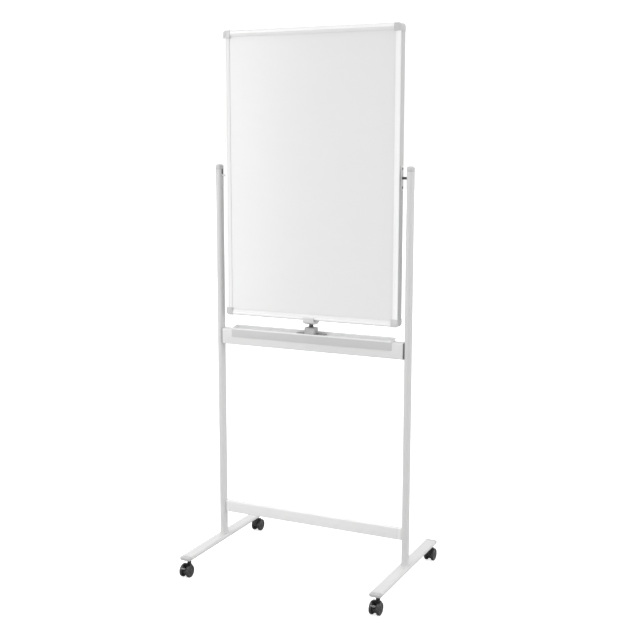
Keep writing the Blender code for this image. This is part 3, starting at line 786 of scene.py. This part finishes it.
def make_bars():
    """The two crossbars with their end pieces."""
    bars = (("lower", "lower_bar_bracket_", 0.0035), ("upper", "upper_bar_end_", 0.0040))
    for level, end_node, radius in bars:
        node = level + "_crossbar"
        low, high, middle = extent(node)
        depth, height = high.y - low.y, high.z - low.z
        centre = (middle.y, middle.z)
        outer = rounded_box(depth, height, radius)
        inner = rounded_box(depth - 2 * TUBE_WALL, height - 2 * TUBE_WALL, radius - TUBE_WALL)
        crossbar = tube(node + "_finish", outer, inner, along_x, low.x, high.x, centre)
        # The lower bar wears the stand's coat painted lighter: painted light.
        stand_for(soften(crossbar, 0.0002), node, "lower_bar_coat_painted_light" if level == "lower" else None)
        for side_name, side in SIDES:
            node = end_node + side_name
            end_low, end_high, _ = extent(node)
            stop = end_high.x if side > 0 else end_low.x
            start = end_low.x if side > 0 else end_high.x
            face = side * (high.x + FIT)
            less = 2 * (TUBE_WALL + FIT)
            spigot = rounded_box(depth - less, height - less, radius - TUBE_WALL - FIT)
            collar = rounded_box(depth, height, radius)
            soft = rounded_box(depth - 2 * CHAMFER, height - 2 * CHAMFER, radius - CHAMFER)
            layers = [(start, spigot), (face, spigot), (face, soft), (face + side * CHAMFER, collar)]
            layers += [(stop - side * CHAMFER, collar), (stop, soft)]
            piece = loft(node + "_finish", layers, along_x, centre)
            stand_for(soften(piece, 0.0), node)


def make_tray():
    """Folded sheet over the upper bar, with rounded folds and an end wall at each end."""
    low, high, _ = extent("pen_tray")
    sheet = TRAY_SHEET
    bar_top = extent("upper_crossbar")[1].z
    floor = bar_top + FIT + sheet
    front_lip = floor + 0.0025
    corners = [
        (low.y, low.z, 0.0004),
        (low.y + sheet, low.z, 0.0004),
        (low.y + sheet, floor - sheet, 0.0005),
        (high.y, floor - sheet, 0.0014),
        (high.y, high.z, 0.0005),
        (high.y - sheet, high.z, 0.0005),
        (high.y - sheet, floor, 0.0006),
        (low.y + sheet, floor, 0.0006),
        (low.y + sheet, front_lip, 0.0005),
        (low.y, front_lip, 0.0005),
    ]
    tray = bar("pen_tray_finish", filleted(corners, 5), along_x, low.x, high.x)
    wall = [
        (low.y + sheet / 2, floor - sheet / 2),
        (high.y - sheet / 2, floor - sheet / 2),
        (high.y - sheet / 2, high.z - sheet / 4),
        (low.y + sheet / 2, front_lip - sheet / 4),
    ]
    walls = []
    for end, side in ((low.x, -1), (high.x, 1)):
        walls.append(bar("wall", wall, along_x, end - side * 1.5 * sheet, end - side * 0.5 * sheet))
    stand_for(soften(join(tray, *walls), 0.0002), "pen_tray")


def make_catch():
    """Screwed-down plate, housing and forked saddle."""
    low, high, middle = extent("catch_plate")
    outline = rounded_box(high.x - low.x, high.y - low.y, 0.004)
    plate = bar("catch_plate_finish", outline, along_z, low.z, high.z)
    seats = []
    for sign in (-1, 1):
        layers = [(high.z - 0.0013, circle(0.0016, 24)), (high.z + 0.0002, circle(0.0034, 24))]
        seats.append(loft("seat", layers, along_z, (sign * CATCH_SCREW_X, middle.y)))
    stand_for(soften(cut(plate, *seats)), "catch_plate")
    for sign, name in ((-1, "left"), (1, "right")):
        layers = [(high.z - 0.0011, circle(0.0016, 24)), (high.z - 0.0001, circle(0.0030, 24))]
        layers.append((high.z + 0.0003, circle(0.0022, 24)))
        centre = (sign * CATCH_SCREW_X, middle.y)
        screw = loft("catch_plate_screw_" + name, layers, along_z, centre)
        cut(screw, *cross_recess(0.0008, 0.0015, 0.0003, centre, high.z + 0.0003, 1, along_z))
        detail(soften(screw, 0.0), "catch_plate")

    low, high, _ = extent("catch_housing")
    wide, deep = high.x - low.x, high.y - low.y
    layers = [(low.z, rounded_box(wide - 0.0004, deep - 0.0004, 0.0038))]
    layers.append((low.z + 0.0002, rounded_box(wide, deep, 0.004)))
    rounding = 0.0028
    for step in range(7):
        turn = math.radians(90 * step / 6)
        inset = rounding * (1 - math.cos(turn))
        outline = rounded_box(wide - 2 * inset, deep - 2 * inset, 0.004 - inset)
        layers.append((high.z - rounding * (1 - math.sin(turn)), outline))
    housing = loft("catch_housing_finish", layers, along_z)
    bore = bar("bore", circle(0.0073, 48), along_z, low.z - 0.001, high.z + 0.001)
    ribs = []
    for y in (low.y, high.y):
        for x in (-0.009, -0.003, 0.003, 0.009):
            rib_low = (x - 0.0006, y - 0.0006, low.z + 0.003)
            ribs.append(block("rib", rib_low, (x + 0.0006, y + 0.0006, high.z - 0.005)))
    stand_for(soften(cut(housing, bore, *ribs), 0.0002), "catch_housing")

    low, high, _ = extent("catch_slider")
    floor = extent("frame_rail_bottom")[0].z - 0.0012
    underside = floor - 0.0113
    inner = 0.0188
    lip = high.y
    half = [
        (inner, floor, 0.0006),
        (inner, high.z - 0.0035, 0.0010),
        (inner + 0.0018, high.z, 0.0008),
        (lip, high.z, 0.0014),
        (lip, floor - 0.0040, 0.0030),
        (0.0085, underside, 0.0012),
    ]
    corners = half + [(-y, z, r) for y, z, r in half[::-1]]
    saddle = bar("catch_slider_finish", filleted(corners, 6), along_x, low.x, high.x)
    layers = [(low.z, circle(0.0064)), (low.z + 0.0006, circle(NECK_RADIUS))]
    layers.append((underside + 0.0010, circle(NECK_RADIUS)))
    stand_for(soften(saddle, 0.0005), "catch_slider")
    neck = loft("catch_slider_neck", layers, along_z)
    detail(soften(neck, 0.0), "catch_slider", "pivot_steel")


# Casters: y is measured from the swivel axis, away along the trail


def caster_place(end_name, side_name):
    """Swivel axis, height of the axle, how far the axle trails and which way."""
    stem = extent(f"caster_stem_{end_name}_{side_name}")[2]
    axle = extent(f"caster_axle_{end_name}_{side_name}")[2]
    return stem, axle.z, abs(axle.y - stem.y), 1 if axle.y > stem.y else -1


def spun(profile, name, side, centre, steps=56):
    """A wheel-like solid round the X axis: profile is (out along X, radius) pairs."""
    layers = [(centre.x + side * at, circle(r, steps)) for at, r in profile]
    return loft(name, layers, along_x, (centre.y, centre.z))


def make_wheel(node, side, caster_x):
    """Nylon wheel with a flat tread, a dished outer face and a hub."""
    low, high, middle = extent(node)
    radius = (high.z - low.z) / 2
    inner = min(abs(low.x - caster_x), abs(high.x - caster_x))
    outer = max(abs(low.x - caster_x), abs(high.x - caster_x))
    profile = [
        (outer - 0.0010, 0.0023),
        (inner, 0.0023),
        (inner, radius - 0.0032),
        (inner + 0.0003, radius - 0.0014),
        (inner + 0.0010, radius - 0.0004),
        (inner + 0.0020, radius),
        (outer - 0.0034, radius),
        (outer - 0.0022, radius - 0.0003),
        (outer - 0.0012, radius - 0.0011),
        (outer - 0.0005, radius - 0.0023),
        (outer - 0.0002, radius - 0.0036),
        (outer - 0.0004, radius - 0.0044),
        (outer - 0.0017, radius - 0.0052),
        (outer - 0.0019, 0.0100),
        (outer - 0.0017, 0.0074),
        (outer - 0.0004, 0.0068),
        (outer, 0.0060),
        (outer - 0.0001, 0.0030),
    ]
    centre = Vector((caster_x, middle.y, middle.z))
    wheel = spun(profile, node + "_finish", side, centre)
    wheel.data.transform(Matrix.Translation(-centre))
    wheel.location = centre
    stand_for(soften(wheel, 0.0), node)


def make_caster(end_name, side_name):
    """Stem, body with its fender, wheels, and on the front casters a brake lever."""
    place = f"{end_name}_{side_name}"
    stem, axle_z, trail, away = caster_place(end_name, side_name)

    def at(points):
        """Points given as (away from the stem, up) from the axle."""
        return [(stem.y + away * (trail + p[0]), axle_z + p[1]) for p in points]

    node = "caster_stem_" + place
    low, high, _ = extent(node)
    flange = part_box(side_name + "_foot")[0].z - FIT
    layers = [
        (low.z, 0.0032),
        (low.z + 0.0008, STEM_RADIUS),
        (flange - 0.0027, STEM_RADIUS),
        (flange - 0.0027, 0.0076),
        (flange - 0.0023, 0.0080),
        (flange - 0.0004, 0.0080),
        (flange, 0.0076),
        (flange, STEM_RADIUS),
        (high.z - 0.0008, STEM_RADIUS),
        (high.z, 0.0032),
    ]
    piece = loft(node + "_finish", [(z, circle(r, 40)) for z, r in layers], along_z, (stem.x, stem.y))
    stand_for(soften(piece, 0.0), node)

    node = "caster_body_" + place
    low, high, _ = extent(node)
    web_half = 0.0062
    socket_side = -trail - 0.0055
    web = arc((0, 0), 0.0150, -160, 75, 36) + arc((0, 0), 0.0222, 80, 128, 12)
    web += [(socket_side, 0.0160), (socket_side, 0.0020)]
    body = bar(node + "_finish", at(web), along_x, stem.x - web_half, stem.x + web_half)
    layers = [(0.0255, 0.0060), (0.0260, 0.0065), (high.z - 0.0006, 0.0065), (high.z, 0.0059)]
    socket = loft("socket", [(z, circle(r, 40)) for z, r in layers], along_z, (stem.x, stem.y))
    fender = arc((0, 0), 0.0233, 78, 150, 20) + arc((0, 0), 0.0213, 150, 78, 20)
    fender_half = (high.x - low.x) / 2
    hood = bar("fender", at(fender), along_x, stem.x - fender_half, stem.x + fender_half)
    join(body, socket, hood)
    cutters = [
        bar("stem_hole", circle(STEM_HOLE, 32, (stem.x, stem.y)), along_z, 0.0320, high.z + 0.001),
        bar("axle_hole", at(circle(AXLE_HOLE, 24)), along_x, stem.x - 0.012, stem.x + 0.012),
    ]
    lever_node = "brake_lever_" + place
    braked = lever_node in frame["nodes"]
    if braked:
        slot = [(0.0032, 0.0032), (0.0200, 0.0032), (0.0200, 0.0230), (0.0032, 0.0160)]
        cutters.append(bar("slot", at(slot), along_x, stem.x - 0.0040, stem.x + 0.0040))
        pin_hole = at(circle(0.0018, 20, LEVER_PIVOT))
        cutters.append(bar("pin_hole", pin_hole, along_x, stem.x - 0.012, stem.x + 0.012))
    stand_for(soften(cut(body, *cutters), 0.0003), node)

    if braked:
        across, up = LEVER_PIVOT
        arm = arc(LEVER_PIVOT, 0.0030, 110, 290, 14)
        arm += [(across + 0.0140, up + 0.0030), (across + 0.0175, up + 0.0075)]
        arm.append((across + 0.0140, up + 0.0080))
        lever = bar(lever_node + "_finish", at(arm), along_x, stem.x - 0.0036, stem.x + 0.0036)
        pin = bar("pin", at(circle(0.0015, 20, LEVER_PIVOT)), along_x, stem.x - 0.0059, stem.x + 0.0059)
        pedal = [
            (across + 0.0132, up + 0.0042),
            (across + 0.0190, up + 0.0082),
            (across + 0.0180, up + 0.0108),
            (across + 0.0122, up + 0.0072),
        ]
        tread = bar("pedal", at(pedal), along_x, stem.x - 0.0075, stem.x + 0.0075)
        stand_for(soften(join(lever, pin, tread), 0.0004), lever_node)

    for wheel_name, side in SIDES:
        make_wheel(f"wheel_{place}_{wheel_name}", side, stem.x)


def make_hidden_looks():
    """The CAD nodes that stay in view wear their slot's material as they are."""
    for node, obj in frame["nodes"].items():
        if obj.hide_render:
            continue
        obj.data.materials.clear()
        obj.data.materials.append(LOOKS[SLOT_OF[node]])


# Stage


def make_floor():
    """Pale ground that reads as white to the camera but throws no extra light on the object."""
    size = 30.0
    floor = block("floor", (-size, -size, -0.02), (size, size, 0.0))
    n = Nodes("pale_floor")
    n.colour(n.ramp(n.noise(3.0, 2.0), [(0.3, (0.58, 0.58, 0.58)), (0.7, (0.60, 0.60, 0.60))]))
    n.shader.inputs["Roughness"].default_value = 0.9
    n.shader.inputs["Specular IOR Level"].default_value = 0.1
    n.shader.inputs["Emission Color"].default_value = (1.0, 1.0, 1.0, 1.0)
    path = n.add("ShaderNodeLightPath")
    glow = n.ranged(path.outputs["Is Camera Ray"], 0.0, FLOOR_GLOW, 0.0, 1.0)
    n.link(glow, n.shader.inputs["Emission Strength"])
    floor.data.materials.append(n.material)


def sun(name, direction, strength, spread, glossy=True):
    """Light with no falloff, from a direction given as a vector towards it. It can leave no highlights."""
    data = bpy.data.lights.new(name, "SUN")
    data.energy = strength
    data.angle = math.radians(spread)
    lamp = bpy.data.objects.new(name, data)
    lamp.rotation_mode = "QUATERNION"
    lamp.rotation_quaternion = Vector(direction).to_track_quat("Z", "Y")
    lamp.visible_glossy = glossy
    bpy.context.scene.collection.objects.link(lamp)


def softbox(name, location, target, size, power):
    data = bpy.data.lights.new(name, "AREA")
    data.shape = "RECTANGLE"
    data.size, data.size_y = size
    data.energy = power
    lamp = bpy.data.objects.new(name, data)
    lamp.location = location
    lamp.rotation_mode = "QUATERNION"
    lamp.rotation_quaternion = (Vector(location) - Vector(target)).to_track_quat("Z", "Y")
    bpy.context.scene.collection.objects.link(lamp)


def make_light():
    """Pale surroundings, suns from above, the right and behind, and two soft boxes at the front."""
    world = bpy.data.worlds.new("studio")
    bpy.context.scene.world = world
    world.use_nodes = True
    tree = world.node_tree
    background = tree.nodes["Background"]
    path = tree.nodes.new("ShaderNodeLightPath")
    strength = None
    for ray, level in (("Is Glossy Ray", GLOSSY_AMBIENT), ("Is Camera Ray", BACKDROP)):
        mix = tree.nodes.new("ShaderNodeMix")
        tree.links.new(path.outputs[ray], mix.inputs["Factor"])
        mix.inputs["A"].default_value = AMBIENT
        mix.inputs["B"].default_value = level
        if strength:
            tree.links.new(strength, mix.inputs["A"])
        strength = mix.outputs["Result"]
    background.inputs["Color"].default_value = (1.0, 1.0, 1.0, 1.0)
    tree.links.new(strength, background.inputs["Strength"])
    sun("top_light", (-0.16, -0.10, 1.0), 1.75, 60)
    sun("right_light", (1.0, 0.16, 0.25), 1.7, 90)
    sun("back_light", (-0.45, 1.0, 0.10), 1.2, 30, glossy=False)
    softbox("left_box", (-2.2, -2.2, 1.45), (0.0, 0.0, 1.20), (1.6, 2.4), 26.0)
    softbox("front_box", (0.2, -3.2, 0.75), (0.0, 0.0, 0.85), (1.6, 1.6), 11.0)


def make_camera():
    """A standing view from the front right, with a slight roll."""
    data = bpy.data.cameras.new("camera")
    data.sensor_width = 36.0
    data.lens = 60.0
    data.shift_x = -0.02056
    data.shift_y = -0.00699
    data.clip_start, data.clip_end = 0.05, 100.0
    camera = bpy.data.objects.new("camera", data)
    turn = Matrix.Rotation(math.radians(24.923), 4, "Z")
    tilt = Matrix.Rotation(math.radians(90 - 8.964), 4, "X")
    roll = Matrix.Rotation(math.radians(0.2115), 4, "Z")
    camera.matrix_world = Matrix.Translation((1.46732, -2.99323, 1.36524)) @ turn @ tilt @ roll
    bpy.context.scene.collection.objects.link(camera)
    bpy.context.scene.camera = camera


make_camera()
make_light()
make_floor()
make_rails()
make_corner_caps()
make_pivots()
make_posts()
make_feet()
make_bars()
make_tray()
make_catch()
for end_name, _ in ENDS:
    for side_name, _ in SIDES:
        make_caster(end_name, side_name)
make_hidden_looks()
bpy.context.scene.view_settings.view_transform = "Standard"
